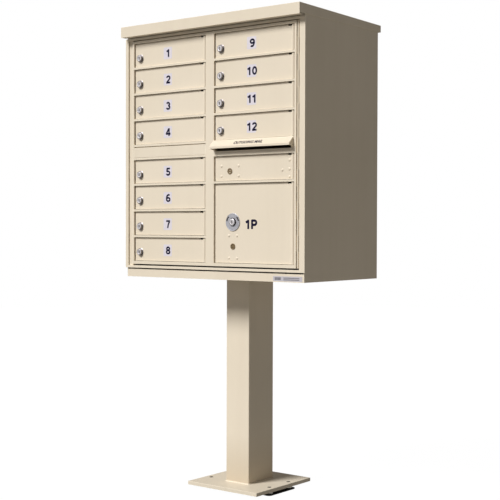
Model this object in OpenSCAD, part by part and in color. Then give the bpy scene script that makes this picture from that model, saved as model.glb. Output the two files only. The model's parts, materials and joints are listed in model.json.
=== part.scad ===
// Pedestal cluster mailbox: twelve tenant doors, one parcel locker, one outgoing mail
// compartment, all carried by one master door on the front of a sheet-steel cabinet.
// Millimetres. X runs to the right, Y to the back, Z up. The origin is the centre of the
// footprint on the ground, under the anchor straps.

/* [Cabinet] */
// Width over the side panels
cabinet_w = 760; // [758:1:764]
// Depth from the front flanges to the back panel
cabinet_d = 424; // [400:2:460]
// Height of the cabinet's underside above the ground
cabinet_bottom = 725; // [600:0.5:760]
// Sheet thickness of the panels
sheet = 2; // [1.6:0.1:2.4]
// Thickness of the compartment shelves
shelf_t = 1.5; // [1.2:0.1:2]

/* [Roof cap] */
// Height of the roof above the ground at its front edge
roof_front_z = 1590; // [1589:1:1600]
// How much lower the roof is at its rear edge
roof_fall = 9; // [4:1:12]
// How far the roof stands past the cabinet's front
roof_overhang_front = 32; // [24:1:48]
// How far the roof stands past the cabinet's back
roof_overhang_rear = 15; // [8:1:24]
// Height of the roof's front lip
roof_lip = 36; // [34:1:38]

/* [Master door frame] */
// Height of the frame's top edge above the ground
frame_top = 1540; // [1530:1:1541]
// Depth of the frame from front to back
frame_t = 12; // [11.5:0.5:12.5]
// Width of each outer stile
stile_w = 7; // [6.5:0.5:8]
// Width of the centre stile
centre_stile_w = 35; // [34:1:40]
// Height of the mullions between the doors
mullion_h = 6.8; // [6:0.2:8]
// Height of the wide rail over the fifth row
wide_rail_h = 52.1; // [50:0.1:56]
// Height of the top rail
top_rail_h = 7.5; // [6:0.5:9]
// Height of the bottom rail
bottom_rail_h = 10; // [8:0.1:11]

/* [Doors] */
// Width of each door opening
opening_w = 327; // [325:0.5:328]
// Height of each tenant door opening
opening_h = 82.5; // [80:0.5:83]
// Depth of the doors behind the frame's front
door_recess = 6.5; // [5.5:0.5:7]
// Thickness of the door sheet
door_t = 2.5; // [2:0.1:2.8]
// Distance of the tenant locks from the opening's left edge
lock_inset = 25.5; // [24:0.5:28]
// Height of the tenant locks above the opening's bottom edge
lock_rise = 31; // [28:0.5:40]

/* [Pedestal] */
// Width of the pedestal tube
pedestal_w = 99; // [80:1:120]
// Depth of the pedestal tube
pedestal_d = 136; // [110:1:150]
// Wall thickness of the pedestal tube
pedestal_wall = 4; // [3:0.5:6]
// Width of the base plate
base_w = 298; // [290:1:310]
// Depth of the base plate
base_d = 306; // [290:1:320]
// Thickness of the base plate
base_t = 12; // [10:1:14]
// Distance between the anchor holes across the width
anchor_span_x = 254; // [240:1:260]
// Distance between the anchor holes front to back
anchor_span_y = 108; // [90:1:140]
// Radius of the anchor holes
anchor_r = 7; // [6:0.5:8]

/* [Hidden] */
$fn = 48;
eps = 0.5;
running_gap = 0.05;

// Colours
sandstone = [0.86, 0.82, 0.73];
steel = [0.70, 0.71, 0.72];
bright_zinc = [0.80, 0.81, 0.82];
bronze = [0.55, 0.42, 0.22];
dark_steel = [0.18, 0.17, 0.17];

// Cabinet planes
half_w = cabinet_w / 2;
front_y = -cabinet_d / 2;
back_y = cabinet_d / 2;
inner_x = half_w - sheet;
cap_front_y = front_y - roof_overhang_front;
cap_back_y = back_y + roof_overhang_rear;
cap_slope = roof_fall / (cap_back_y - cap_front_y);
function roof_z(y) = roof_front_z - cap_slope * (y - cap_front_y);

// Master door frame
frame_w = 2 * stile_w + centre_stile_w + 2 * opening_w;
frame_x = frame_w / 2;
frame_front = front_y - 5.5;
frame_back = frame_front + frame_t;
row_pitch = opening_h + mullion_h;
rows_above = 4;
// Bottom edge of the opening in a row, counted from the top
function row_z(row) = frame_top - top_rail_h - opening_h - row * row_pitch
    - (row >= rows_above ? wide_rail_h - mullion_h : 0);
// Left edge of the openings in a column
function column_x(column) = column == 0 ? -frame_x + stile_w : centre_stile_w / 2;
frame_bottom = row_z(7) - bottom_rail_h;
wide_rail_z = row_z(4) + opening_h;
strip_z = wide_rail_z + wide_rail_h - mullion_h;
cover_z0 = wide_rail_z + mullion_h + 0.8;
cover_z1 = strip_z - 3.3;
channel_wall = 1.5;

// Doors and hinges
door_gap = 1.5;
latch_gap = 2.5;
hinge_from_edge = 9;
curl_r = 5.5;
rod_r = 2;
door_front = frame_front + door_recess;
door_back = door_front + door_t;
door_return = 4.5;
relief = [14, 4.5];
hinge_y = door_front + 1.5;
parcel_h = 3 * opening_h + 2 * mullion_h;
function hinge_x(column) = column_x(column) + opening_w - hinge_from_edge;

// Raised rim, channel and stop lip around the master door
rim_over = 4.5;
rim_proud = 5;
left_rim_w = 13;
right_rim_w = 20.8;
rim_x = half_w + rim_over;
rim_y = front_y - rim_proud;
rim_top = frame_top + 12;
channel_left = left_rim_w - rim_x;
channel_right = rim_x - right_rim_w;
lip_x = frame_x - 2;
left_step_x = -frame_x - 2.5;
lip_y = frame_back + 0.5;
shelf_front = front_y + 26;
sill_z = frame_bottom - 13.5;
sill_top = frame_bottom - 5.5;
header_z = frame_top + 4;
header_face_top = roof_z(front_y) - sheet - 0.5;
apron_h = 26.5;
floor_flange_h = 20;

// Continuous hinge of the master door
master_hinge_x = frame_x + 5.8;
master_hinge_y = front_y - 2;
master_leaf_y = front_y - 1;
master_curl_r = 3;
master_rod_r = 1.5;
knuckle_count = 15;
knuckle_h = (frame_top - frame_bottom) / knuckle_count;
knuckle_gap = 0.4;
hinge_leaf_t = 1.8;

// Tenant locks
lock_head_r = 11;
lock_head_proud = 8;
lock_barrel_r = 9.5;
lock_plug_r = 6;
lock_tail_y = frame_back + 0.6;
nut_t = 3.2;
cam_t = 2;
cam_y = frame_back + 0.9;
cam_reach = 28.5;
tenants = [for (n = [1:12]) [n <= 8 ? 0 : 1, n <= 8 ? n - 1 : n - 9]];

// Slot, latch bar and its guides
slot_z = wide_rail_z + 16;
slot_x0 = centre_stile_w / 2 + 5;
slot_x1 = column_x(1) + opening_w - 12.5;
latch_h = 12;
latch_z = wide_rail_z + 4;
latch_y = frame_back + 3.5;
latch_t = 3;
latch_tip_x = -frame_x + 5.5;
latch_end_x = 56;
latch_tab_x = 28;
guide_x = [-300, -70];

// Outgoing door and parcel door furniture
shield_r = 9.5;
outgoing_lock = [column_x(1) + 63.8, row_z(4) + 32.5];
outgoing_stud_span = [72, 33];
parcel_shield = [column_x(1) + 77, row_z(7) + 55.4];
parcel_stud_centre = [column_x(1) + 77, row_z(7) + 53.4];
parcel_stud_span = [34, 73];
parcel_lock = [column_x(1) + 77, row_z(7) + 134.4];
escutcheon_r = 29;
parcel_cam_reach = 82;
parcel_disc_t = 2;
parcel_head_proud = 6.5;
parcel_head_r = 11.5;
stud_r = 2.5;
stud_len = 12;

// Pedestal
foot_t = 4;
nut_h = 9;
base_z = foot_t + nut_h;
head_plate = [200, 230, 6];
head_bolt_span = [160, 190];
head_bolt_r = 5;

// ---------------------------------------------------------------- shared shapes

module block(x0, x1, y0, y1, z0, z1) {
    translate([x0, y0, z0])
        cube([x1 - x0, y1 - y0, z1 - z0]);
}

// A round bar along Y from y0 to y1, centred on x and z
module rod_y(x, z, y0, y1, r) {
    translate([x, y0, z])
        rotate([-90, 0, 0])
            cylinder(h = y1 - y0, r = r);
}

// A round bar along Z
module rod_z(x, y, z0, z1, r) {
    translate([x, y, z0])
        cylinder(h = z1 - z0, r = r);
}

// A rectangle with true arcs at its corners, centred on the origin
module round_rect(w, d, r) {
    square([w - 2 * r, d], center = true);
    square([w, d - 2 * r], center = true);
    for (sx = [-1, 1], sy = [-1, 1])
        translate([sx * (w / 2 - r), sy * (d / 2 - r)])
            circle(r = r);
}

// A hexagonal prism along Z, measured across its flats
module hexagon(across, h) {
    cylinder(h = h, d = across / cos(30), $fn = 6);
}

// Children at the four corners of a span
module at_corners(span) {
    for (sx = [-1, 1], sy = [-1, 1])
        translate([sx * span[0] / 2, sy * span[1] / 2, 0])
            children();
}

// ---------------------------------------------------------------- pedestal

module base_plate() {
    color(sandstone)
        difference() {
            block(-base_w / 2, base_w / 2, -base_d / 2, base_d / 2, base_z, base_z + base_t);
            at_corners([anchor_span_x, anchor_span_y])
                translate([0, 0, base_z - eps])
                    cylinder(h = base_t + 2 * eps, r = anchor_r);
        }
}

module anchor_feet() {
    strap_w = 34;
    strap_l = anchor_span_y + 42;
    color(dark_steel)
        for (side = [-1, 1])
            difference() {
                translate([side * anchor_span_x / 2, 0, 0])
                    linear_extrude(foot_t)
                        round_rect(strap_w, strap_l, 12);
                for (sy = [-1, 1])
                    translate([side * anchor_span_x / 2, sy * anchor_span_y / 2, -eps])
                        cylinder(h = foot_t + 2 * eps, r = anchor_r);
            }
    color(bright_zinc)
        at_corners([anchor_span_x, anchor_span_y])
            translate([0, 0, foot_t])
                difference() {
                    hexagon(22, nut_h);
                    translate([0, 0, -eps])
                        cylinder(h = nut_h + 2 * eps, r = anchor_r);
                }
}

module pedestal_tube() {
    z0 = base_z + base_t;
    z1 = cabinet_bottom - head_plate[2];
    color(sandstone)
        translate([0, 0, z0])
            linear_extrude(z1 - z0)
                difference() {
                    round_rect(pedestal_w, pedestal_d, 3);
                    square([pedestal_w - 2 * pedestal_wall, pedestal_d - 2 * pedestal_wall],
                           center = true);
                }
}

module pedestal_head_plate() {
    z0 = cabinet_bottom - head_plate[2];
    color(sandstone)
        difference() {
            translate([0, 0, z0])
                linear_extrude(head_plate[2])
                    round_rect(head_plate[0], head_plate[1], 8);
            at_corners(head_bolt_span)
                translate([0, 0, z0 - eps])
                    cylinder(h = head_plate[2] + 2 * eps, r = head_bolt_r + running_gap);
        }
}

module pedestal_bolts() {
    washer_t = 2;
    color(bright_zinc)
        at_corners(head_bolt_span) {
            translate([0, 0, cabinet_bottom - head_plate[2]])
                cylinder(h = head_plate[2] + sheet + washer_t + 1, r = head_bolt_r);
            translate([0, 0, cabinet_bottom + sheet])
                cylinder(h = washer_t, r = 11);
            translate([0, 0, cabinet_bottom + sheet + washer_t])
                hexagon(16, 6.4);
        }
}

// ---------------------------------------------------------------- cabinet

module floor_pan() {
    z0 = cabinet_bottom;
    z1 = cabinet_bottom + floor_flange_h;
    back = back_y - sheet;
    color(sandstone)
        difference() {
            union() {
                block(-inner_x, inner_x, front_y, back, z0, z0 + sheet);
                block(-inner_x, inner_x, front_y, front_y + sheet, z0, z0 + apron_h);
                block(-inner_x, inner_x, back - sheet, back, z0, z1);
                block(-inner_x, -inner_x + sheet, front_y, back, z0, z1);
                block(inner_x - sheet, inner_x, front_y, back, z0, z1);
            }
            at_corners(head_bolt_span)
                translate([0, 0, z0 - eps])
                    cylinder(h = sheet + 2 * eps, r = head_bolt_r + running_gap);
        }
}

// A side panel with its front flange and raised rim, drawn for the right side
module side_panel(rim_inner) {
    color(sandstone) {
        translate([inner_x, 0, 0])
            rotate([90, 0, 90])
                linear_extrude(sheet)
                    polygon([
                        [front_y, cabinet_bottom],
                        [back_y, cabinet_bottom],
                        [back_y, roof_z(back_y) - sheet - running_gap],
                        [front_y, roof_z(front_y) - sheet - running_gap]
                    ]);
        block(rim_inner, half_w, front_y, front_y + sheet, sill_z, header_face_top);
        block(half_w - eps, rim_x, front_y, front_y + sheet, sill_z, rim_top);
        block(rim_inner, rim_x, rim_y, rim_y + sheet, sill_z, rim_top);
        block(rim_x - sheet, rim_x, rim_y, front_y + sheet, sill_z, rim_top);
        block(rim_inner, rim_inner + sheet, rim_y, front_y + sheet, sill_z, rim_top);
    }
}

module right_side_panel() {
    side_panel(channel_right);
}

module left_side_panel() {
    mirror([1, 0, 0])
        side_panel(-channel_left);
}

module back_panel() {
    color(sandstone)
        block(-inner_x, inner_x, back_y - sheet, back_y, cabinet_bottom, roof_z(back_y) - sheet);
}

module roof_cap() {
    side = half_w + sheet;
    lip_z = roof_front_z - roof_lip;
    side_lip_z = lip_z + 4;
    hem = 22;
    color(sandstone) {
        difference() {
            translate([-side, 0, 0])
                rotate([90, 0, 90])
                    linear_extrude(2 * side)
                        polygon([
                            [cap_front_y, side_lip_z],
                            [cap_back_y, side_lip_z],
                            [cap_back_y, roof_z(cap_back_y)],
                            [cap_front_y, roof_z(cap_front_y)]
                        ]);
            translate([-half_w, 0, 0])
                rotate([90, 0, 90])
                    linear_extrude(2 * half_w)
                        polygon([
                            [cap_front_y + sheet, side_lip_z - eps],
                            [cap_back_y - sheet, side_lip_z - eps],
                            [cap_back_y - sheet, roof_z(cap_back_y - sheet) - sheet],
                            [cap_front_y + sheet, roof_z(cap_front_y + sheet) - sheet]
                        ]);
        }
        block(-side, side, cap_front_y, cap_front_y + sheet, lip_z, side_lip_z);
        block(-half_w, half_w, cap_front_y, cap_front_y + hem, lip_z, lip_z + sheet);
    }
}

// Every second knuckle of the master door's continuous hinge and the leaf beside it. The leaf
// turns back by leaf_d along the part it is fixed to
module knuckles(first, leaf_x0, leaf_x1, leaf_d) {
    for (k = [first:2:knuckle_count - 1]) {
        z0 = frame_bottom + k * knuckle_h + knuckle_gap / 2;
        z1 = z0 + knuckle_h - knuckle_gap;
        rod_z(master_hinge_x, master_hinge_y, z0, z1, master_curl_r);
        block(leaf_x0, leaf_x1, master_leaf_y, master_leaf_y + hinge_leaf_t, z0, z1);
        block(leaf_x1 - hinge_leaf_t, leaf_x1, master_leaf_y, master_leaf_y + leaf_d, z0, z1);
    }
}

module master_rod_bore() {
    rod_z(master_hinge_x, master_hinge_y, frame_bottom - 3, frame_top + 3,
          master_rod_r + running_gap);
}

// The raised rim over the sill or header: a front plate with a return above and below
module rim_rail(z0, z1) {
    block(channel_left, channel_right, rim_y, rim_y + sheet, z0, z1);
    block(channel_left, channel_right, rim_y, front_y + eps, z0, z0 + channel_wall);
    block(channel_left, channel_right, rim_y, front_y + eps, z1 - channel_wall, z1);
}

module door_jambs() {
    wall_top = header_z + sheet;
    wall_bottom = sill_top - sheet;
    color(sandstone)
        difference() {
            union() {
                // Stop lip all round, which is also the channel's floor
                difference() {
                    block(channel_left, channel_right, lip_y, lip_y + sheet, wall_bottom, wall_top);
                    block(-lip_x, lip_x, lip_y - eps, lip_y + sheet + eps,
                          frame_bottom + 2, frame_top - 2);
                }
                // Channel walls, behind the side panels' flanges
                difference() {
                    block(channel_left - sheet, channel_right + sheet, front_y + sheet, lip_y + sheet,
                          wall_bottom, wall_top);
                    block(channel_left, channel_right, front_y, lip_y + sheet + eps,
                          sill_top, header_z);
                }
                // Sill and header faces, with the raised rim in front of them
                block(channel_left, channel_right, front_y, front_y + sheet, sill_z, sill_top);
                block(channel_left, channel_right, front_y, front_y + sheet, header_z, header_face_top);
                rim_rail(sill_z, sill_top);
                rim_rail(header_z, rim_top);
                // Ledge in the left channel, beside the frame's left edge
                block(channel_left, left_step_x, front_y, front_y + sheet + eps, sill_top, header_z);
                block(left_step_x - sheet, left_step_x, front_y, lip_y + eps, sill_top, header_z);
                // Fixed half of the hinge, with its leaf turned back along the channel wall
                knuckles(0, master_hinge_x, channel_right, lip_y + eps - master_leaf_y);
            }
            master_rod_bore();
        }
}

// A wall between the columns, notched over the floor pan's rear flange
module compartment_divider() {
    half_t = 1;
    color(sandstone)
        difference() {
            block(-half_t, half_t, shelf_front, back_y - sheet, cabinet_bottom + sheet, header_z);
            block(-half_t - eps, half_t + eps, back_y - 2 * sheet, back_y, cabinet_bottom,
                  cabinet_bottom + floor_flange_h);
        }
}

// One shelf whose top is just under the opening's bottom edge
module shelf(column, z) {
    x0 = column == 0 ? -inner_x : 1;
    x1 = column == 0 ? -1 : inner_x;
    block(x0, x1, shelf_front, back_y - sheet, z - 1 - shelf_t, z - 1);
}

module shelves() {
    color(sandstone) {
        for (row = [0:7])
            shelf(0, row_z(row));
        shelf(0, wide_rail_z + 3.5);
        for (row = [0:4])
            shelf(1, row_z(row));
        shelf(1, row_z(7));
    }
}

// ---------------------------------------------------------------- master door

// A mullion or rail across one column
module bar(column, z0, z1) {
    x0 = column_x(column);
    block(x0 - eps, x0 + opening_w + eps, frame_front, frame_back, z0, z1);
}

// A staple behind the wide rail that guides the latch bar
module latch_guide(x) {
    leg = 2.2;
    gap = 0.3;
    width = 14;
    back = latch_y + latch_t + gap;
    block(x, x + width, frame_back, back + channel_wall, latch_z - gap - leg, latch_z - gap);
    block(x, x + width, frame_back, back + channel_wall, latch_z + latch_h + gap,
          latch_z + latch_h + gap + leg);
    block(x, x + width, back, back + channel_wall, latch_z - gap - leg, latch_z + latch_h + gap + leg);
}

module master_frame() {
    color(sandstone)
        difference() {
            union() {
                // Outer stiles, top rail and bottom rail
                for (side = [-1, 1])
                    block(side > 0 ? frame_x - stile_w : -frame_x, side > 0 ? frame_x : -frame_x + stile_w,
                          frame_front, frame_back, frame_bottom, frame_top);
                for (column = [0, 1]) {
                    bar(column, frame_top - top_rail_h, frame_top);
                    bar(column, frame_bottom, row_z(7));
                    // Mullions above the wide rail, the strip over it, and the one under row five
                    for (row = [0:2])
                        bar(column, row_z(row) - mullion_h, row_z(row));
                    bar(column, strip_z, strip_z + mullion_h);
                    bar(column, row_z(4) - mullion_h, row_z(4));
                }
                for (row = [5, 6])
                    bar(0, row_z(row) - mullion_h, row_z(row));
                // Centre stile, a channel that is open at the back
                difference() {
                    block(-centre_stile_w / 2, centre_stile_w / 2, frame_front, frame_back,
                          frame_bottom, frame_top);
                    block(-centre_stile_w / 2 + channel_wall, centre_stile_w / 2 - channel_wall,
                          frame_front + channel_wall, frame_back + eps,
                          frame_bottom + bottom_rail_h, frame_top - top_rail_h);
                }
                // Wide rail: a mullion over row five, and a shallow channel behind the cover
                bar(0, wide_rail_z, wide_rail_z + mullion_h);
                difference() {
                    block(column_x(0) - eps, column_x(0) + opening_w + eps, frame_front + sheet, frame_back,
                          wide_rail_z + mullion_h - eps, strip_z + eps);
                    block(column_x(0), column_x(0) + opening_w, frame_front, frame_back - channel_wall,
                          cover_z0 + channel_wall, cover_z1 - channel_wall);
                    block(column_x(0), column_x(0) + opening_w, frame_front, frame_back - 5,
                          cover_z1, strip_z);
                }
                // Bar under the mail slot and the blocks at its ends
                bar(1, wide_rail_z, slot_z);
                block(column_x(1) - eps, slot_x0, frame_front, frame_back, slot_z - eps, strip_z + eps);
                block(slot_x1, column_x(1) + opening_w + eps, frame_front, frame_back,
                      slot_z - eps, strip_z + eps);
                for (x = guide_x)
                    latch_guide(x);
                knuckles(1, frame_x - eps, master_hinge_x, hinge_leaf_t);
            }
            // Bores for the hinge rods
            for (column = [0, 1])
                rod_z(hinge_x(column), hinge_y, frame_bottom + 2, frame_top - 2, rod_r + running_gap);
            master_rod_bore();
        }
}

module rail_cover() {
    color(sandstone)
        block(column_x(0), column_x(0) + opening_w, frame_front, frame_front + sheet,
              cover_z0, cover_z1);
}

module mail_hood() {
    x0 = column_x(1) - 0.5;
    x1 = column_x(1) + opening_w - 3.5;
    wall = 1.5;
    reach = 22.5;
    top = strip_z + mullion_h - 0.3;
    drop = 21;
    lip = 7;
    front = frame_front - reach;
    color(sandstone) {
        translate([x0, 0, 0])
            rotate([90, 0, 90])
                linear_extrude(x1 - x0)
                    polygon([
                        [frame_front, top],
                        [front, top - drop],
                        [front, top - drop - lip],
                        [front + wall, top - drop - lip],
                        [front + wall, top - drop - 0.8],
                        [frame_front - wall, top - 3.1],
                        [frame_front - wall, top - mullion_h],
                        [frame_front, top - mullion_h]
                    ]);
        for (x = [x0, x1 - wall])
            translate([x, 0, 0])
                rotate([90, 0, 90])
                    linear_extrude(wall)
                        polygon([
                            [frame_front, top],
                            [front, top - drop],
                            [front, top - drop - lip],
                            [frame_front, top - drop - lip - 4]
                        ]);
    }
}

module hinge_rods() {
    color(steel) {
        for (column = [0, 1])
            rod_z(hinge_x(column), hinge_y, frame_bottom + 2.2, frame_top - 2.2, rod_r);
        rod_z(master_hinge_x, master_hinge_y, frame_bottom, frame_top, master_rod_r);
    }
}

module latch_bar() {
    color(steel) {
        block(latch_tip_x, latch_end_x, latch_y, latch_y + latch_t, latch_z, latch_z + latch_h);
        // Finger tab that hangs into the outgoing mail opening
        block(latch_tab_x, latch_tab_x + 12, latch_y, latch_y + latch_t, latch_z - 22, latch_z);
    }
}

// ---------------------------------------------------------------- doors

// A door pan with three returns and a rolled hinge curl on its right
module door_pan(column, z0, h) {
    x0 = column_x(column) + latch_gap;
    hinge = hinge_x(column);
    bottom = z0 + door_gap;
    top = z0 + h - door_gap;
    edge = 2;
    difference() {
        union() {
            block(x0, hinge, door_front, door_back, bottom, top);
            block(x0, x0 + edge, door_front, door_front + door_return, bottom, top);
            block(x0, hinge - 10, door_front, door_front + door_return, bottom, bottom + edge);
            block(x0, hinge - 10, door_front, door_front + door_return, top - edge, top);
            rod_z(hinge, hinge_y, bottom, top, curl_r);
            children(0);
        }
        rod_z(hinge, hinge_y, bottom - eps, top + eps, rod_r + running_gap);
        // Corner relief where the sheet starts to roll
        block(hinge - relief[0] - curl_r, hinge - curl_r, door_front - eps, door_front + door_return + eps,
              top - relief[1], top + eps);
        children(1);
    }
}

// Threaded studs inside a door, for the postal lock behind it
module lock_studs(centre, span) {
    for (sx = [-1, 1], sz = [-1, 1])
        rod_y(centre[0] + sx * span[0] / 2, centre[1] + sz * span[1] / 2,
              door_back - 1, door_back + stud_len, stud_r);
}

module tenant_door(n) {
    column = tenants[n - 1][0];
    z0 = row_z(tenants[n - 1][1]);
    color(sandstone)
        door_pan(column, z0, opening_h) {
            union() {}
            rod_y(column_x(column) + lock_inset, z0 + lock_rise, door_front - eps, door_back + eps,
                  lock_barrel_r + running_gap);
        }
}

module outgoing_door() {
    color(sandstone)
        door_pan(1, row_z(4), opening_h) {
            lock_studs(outgoing_lock, outgoing_stud_span);
            rod_y(outgoing_lock[0], outgoing_lock[1], door_front - eps, door_back + eps, shield_r - 3);
        }
}

module parcel_door() {
    color(sandstone)
        door_pan(1, row_z(7), parcel_h) {
            lock_studs(parcel_stud_centre, parcel_stud_span);
            union() {
                rod_y(parcel_shield[0], parcel_shield[1], door_front - eps, door_back + eps, shield_r - 3);
                rod_y(parcel_lock[0], parcel_lock[1], door_front - eps, door_back + eps,
                      lock_barrel_r + running_gap);
            }
        }
}

// Bronze ring with a bar across it, over a postal lock's keyhole
module key_shield(at) {
    proud = 2;
    inner_r = shield_r - 3;
    color(bronze) {
        difference() {
            rod_y(at[0], at[1], door_front - proud, door_front, shield_r);
            rod_y(at[0], at[1], door_front - proud - eps, door_front + eps, inner_r);
        }
        block(at[0] - inner_r - 0.1, at[0] + inner_r + 0.1, door_front - proud + 0.4, door_front,
              at[1] - 2, at[1] + 2);
    }
}

module outgoing_key_shield() {
    key_shield(outgoing_lock);
}

module parcel_key_shield() {
    key_shield(parcel_shield);
}

// ---------------------------------------------------------------- locks

// The barrel that passes through a door, bored for its plug, and the nut behind the door
module lock_barrel(x, z, head_front) {
    difference() {
        union() {
            rod_y(x, z, head_front, door_front, lock_head_r);
            rod_y(x, z, door_front - eps, lock_tail_y, lock_barrel_r);
        }
        rod_y(x, z, head_front - eps, lock_tail_y + eps, lock_plug_r + running_gap);
    }
    difference() {
        translate([x, door_back, z])
            rotate([-90, 0, 0])
                hexagon(25, nut_t);
        rod_y(x, z, door_back - eps, door_back + nut_t + eps, lock_barrel_r + running_gap);
    }
}

// The plug with its keyway, the cam behind it and the screw that holds the cam
module lock_plug(x, z, plug_front, reach) {
    keyway_h = 8.5;
    keyway_w = 3;
    cam_w = 12;
    difference() {
        rod_y(x, z, plug_front, cam_y, lock_plug_r);
        block(x - keyway_w / 2, x + keyway_w / 2, plug_front - eps, plug_front + 6,
              z - keyway_h / 2, z + keyway_h / 2);
    }
    translate([x, cam_y, z])
        rotate([-90, 0, 0])
            linear_extrude(cam_t) {
                circle(r = 8);
                translate([-cam_w / 2, -reach + cam_w / 2])
                    square([cam_w, reach - cam_w / 2]);
                translate([0, -reach + cam_w / 2])
                    circle(r = cam_w / 2);
            }
    rod_y(x, z, cam_y + cam_t, cam_y + cam_t + 2.4, 4.5);
}

module tenant_lock_body(n) {
    column = tenants[n - 1][0];
    z0 = row_z(tenants[n - 1][1]);
    color(bright_zinc)
        lock_barrel(column_x(column) + lock_inset, z0 + lock_rise, door_front - lock_head_proud);
}

module tenant_lock_plug(n) {
    column = tenants[n - 1][0];
    z0 = row_z(tenants[n - 1][1]);
    color(bright_zinc)
        lock_plug(column_x(column) + lock_inset, z0 + lock_rise,
                  door_front - lock_head_proud + 0.6, cam_reach);
}

module parcel_lock_body() {
    slot_r = 24;
    slot_half_w = 1.6;
    slot_sweep = 34;
    color(bright_zinc) {
        difference() {
            union() {
                rod_y(parcel_lock[0], parcel_lock[1], door_front - parcel_disc_t, door_front, escutcheon_r);
                rod_y(parcel_lock[0], parcel_lock[1], door_front - parcel_head_proud, door_front,
                      parcel_head_r);
                rod_y(parcel_lock[0], parcel_lock[1], door_front - eps, lock_tail_y, lock_barrel_r);
            }
            rod_y(parcel_lock[0], parcel_lock[1], door_front - parcel_head_proud - eps, lock_tail_y + eps,
                  lock_plug_r + running_gap);
            // Two curved slots over the barrel, the same on both sides
            for (middle = [27, 153])
                translate([parcel_lock[0], door_front - parcel_disc_t + 1.4, parcel_lock[1]])
                    rotate([90, 0, 0])
                        rotate([0, 0, middle - slot_sweep / 2])
                            rotate_extrude(angle = slot_sweep)
                                translate([slot_r - slot_half_w, 0])
                                    square([2 * slot_half_w, 3]);
        }
        difference() {
            translate([parcel_lock[0], door_back, parcel_lock[1]])
                rotate([-90, 0, 0])
                    hexagon(25, nut_t);
            rod_y(parcel_lock[0], parcel_lock[1], door_back - eps, door_back + nut_t + eps,
                  lock_barrel_r + running_gap);
        }
    }
}

module parcel_lock_plug() {
    color(bright_zinc)
        lock_plug(parcel_lock[0], parcel_lock[1], door_front - parcel_head_proud + 0.6, parcel_cam_reach);
}

// ---------------------------------------------------------------- assembly

base_plate();
anchor_feet();
pedestal_tube();
pedestal_head_plate();
pedestal_bolts();
floor_pan();
left_side_panel();
right_side_panel();
back_panel();
roof_cap();
door_jambs();
compartment_divider();
shelves();
master_frame();
rail_cover();
mail_hood();
hinge_rods();
latch_bar();
outgoing_door();
outgoing_key_shield();
parcel_door();
parcel_lock_body();
parcel_lock_plug();
parcel_key_shield();
for (n = [1:12]) {
    tag = n < 10 ? str("0", n) : str(n);
    tenant_door(n);
    tenant_lock_body(n);
    tenant_lock_plug(n);
}
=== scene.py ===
"""Looks, fine detail, camera and light for the pedestal cluster mailbox, around its CAD frame."""

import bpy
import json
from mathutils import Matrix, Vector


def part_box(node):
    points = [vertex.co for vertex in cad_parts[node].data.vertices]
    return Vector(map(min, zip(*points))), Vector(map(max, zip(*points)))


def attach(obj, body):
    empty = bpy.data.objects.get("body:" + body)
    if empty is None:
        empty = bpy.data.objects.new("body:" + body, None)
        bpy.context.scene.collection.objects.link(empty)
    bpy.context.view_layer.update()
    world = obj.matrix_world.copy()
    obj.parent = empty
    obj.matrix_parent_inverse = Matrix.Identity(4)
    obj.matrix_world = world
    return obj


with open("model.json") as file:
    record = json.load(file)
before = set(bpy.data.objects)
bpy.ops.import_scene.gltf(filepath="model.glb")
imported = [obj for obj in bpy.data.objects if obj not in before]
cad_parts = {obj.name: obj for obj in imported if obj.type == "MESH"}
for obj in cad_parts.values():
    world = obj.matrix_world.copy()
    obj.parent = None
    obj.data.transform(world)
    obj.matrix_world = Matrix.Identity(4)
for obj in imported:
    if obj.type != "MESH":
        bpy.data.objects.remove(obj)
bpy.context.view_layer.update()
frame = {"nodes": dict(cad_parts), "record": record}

import json
import math

import bmesh
import bpy
from mathutils import Matrix, Vector

MM = 0.001
TENANTS = range(1, 13)
nodes = frame["nodes"]
mounts = {mount["name"]: mount for mount in frame["record"]["mounts"]}

# ------------------------------------------------------------------ material graphs


def add(tree, kind, inputs=(), **settings):
    """A shader or geometry node with its settings and inputs; a socket given as input is linked."""
    made = tree.nodes.new(kind)
    for key, value in settings.items():
        setattr(made, key, value)
    for key, value in dict(inputs).items():
        if isinstance(value, bpy.types.NodeSocket):
            tree.links.new(value, made.inputs[key])
        else:
            made.inputs[key].default_value = value
    return made


def noise(tree, coords, scale, detail=2.0, rough=0.5):
    """Noise between 0 and 1 with features about 1 / scale metres across."""
    inputs = {"Vector": coords, "Scale": scale, "Detail": detail, "Roughness": rough}
    return add(tree, "ShaderNodeTexNoise", inputs).outputs[0]


def stretched(tree, coords, scale):
    """Coordinates stretched along an axis, for streaks and brushed grain."""
    return add(tree, "ShaderNodeMapping", {"Vector": coords, "Scale": scale}).outputs[0]


def remap(tree, value, low, high, to_low, to_high):
    """The value moved from one range to another, clamped."""
    inputs = {0: value, 1: low, 2: high, 3: to_low, 4: to_high}
    return add(tree, "ShaderNodeMapRange", inputs).outputs[0]


def blend_colour(tree, amount, first, second):
    """A colour between two others."""
    made = add(tree, "ShaderNodeMix", {0: amount, 6: first, 7: second}, data_type="RGBA")
    return made.outputs[2]


def calculate(tree, operation, first, second):
    """One step of arithmetic, clamped to 0 to 1."""
    made = add(tree, "ShaderNodeMath", {0: first, 1: second}, operation=operation, use_clamp=True)
    return made.outputs[0]


def edge_mask(tree, radius):
    """1 on outside edges, 0 on flat faces."""
    soft = add(tree, "ShaderNodeBevel", {"Radius": radius}, samples=6)
    true_normal = add(tree, "ShaderNodeNewGeometry").outputs["Normal"]
    agree = add(tree, "ShaderNodeVectorMath", {0: soft.outputs[0], 1: true_normal},
                operation="DOT_PRODUCT")
    return remap(tree, agree.outputs["Value"], 0.8, 0.995, 1.0, 0.0)


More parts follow.
